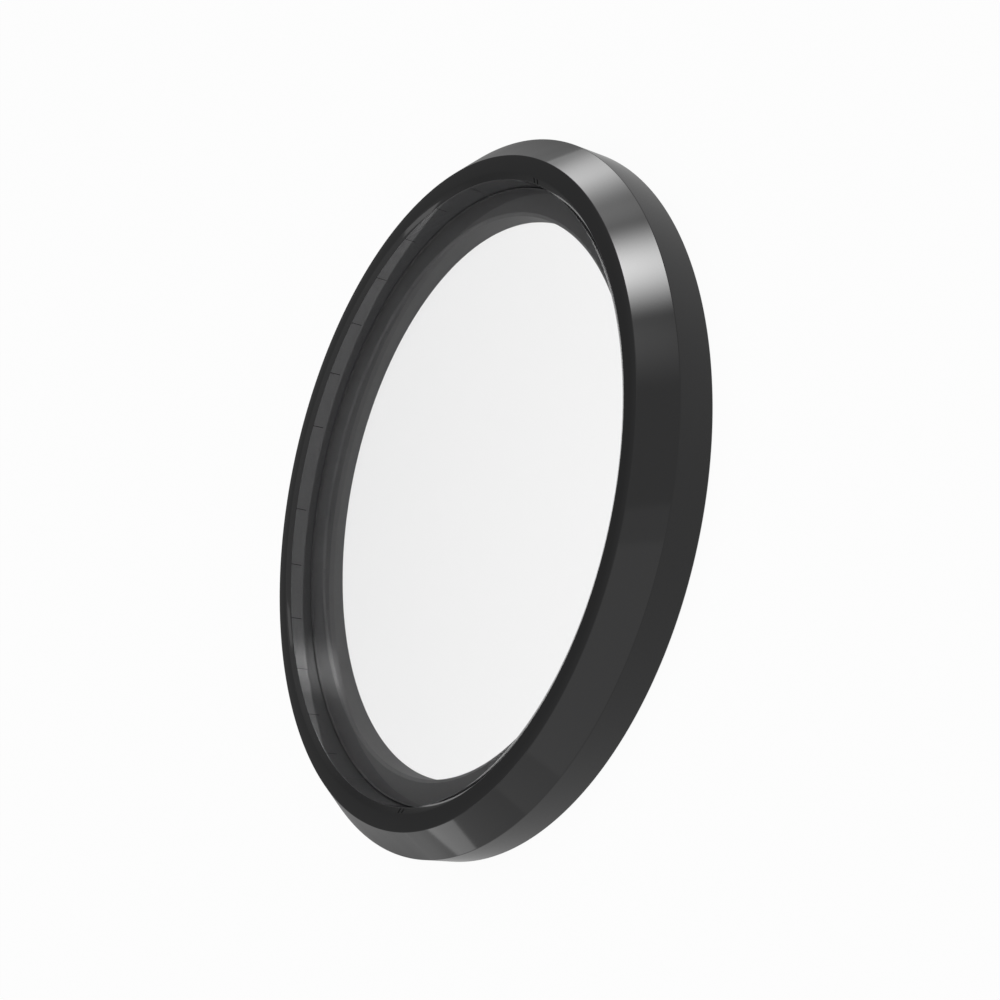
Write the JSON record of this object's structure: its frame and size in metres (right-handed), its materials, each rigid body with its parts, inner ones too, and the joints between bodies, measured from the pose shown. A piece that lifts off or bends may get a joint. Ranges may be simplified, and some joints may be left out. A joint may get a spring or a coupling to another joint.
{
  "type": "uv lens filter",
  "caption": "Round push-on lens filter: black turned metal ring with a broad front chamfer and a stepped recess that holds clear flat glass.",
  "frame": {"origin": "on the optical axis, in the flat rear face of the ring, on which the filter rests", "axes": "+Z along the optical axis, out of the front face; X and Y lie in the plane of the glass, and all directions in it are alike"},
  "size_m": [0.042, 0.042, 0.0036],
  "materials": {
    "black_anodised": "satin black anodised",
    "clear_glass": "polished"
  },
  "bodies": {
    "root": {"frame_ring": "black_anodised", "filter_glass": "clear_glass"}
  },
  "joints": []
}
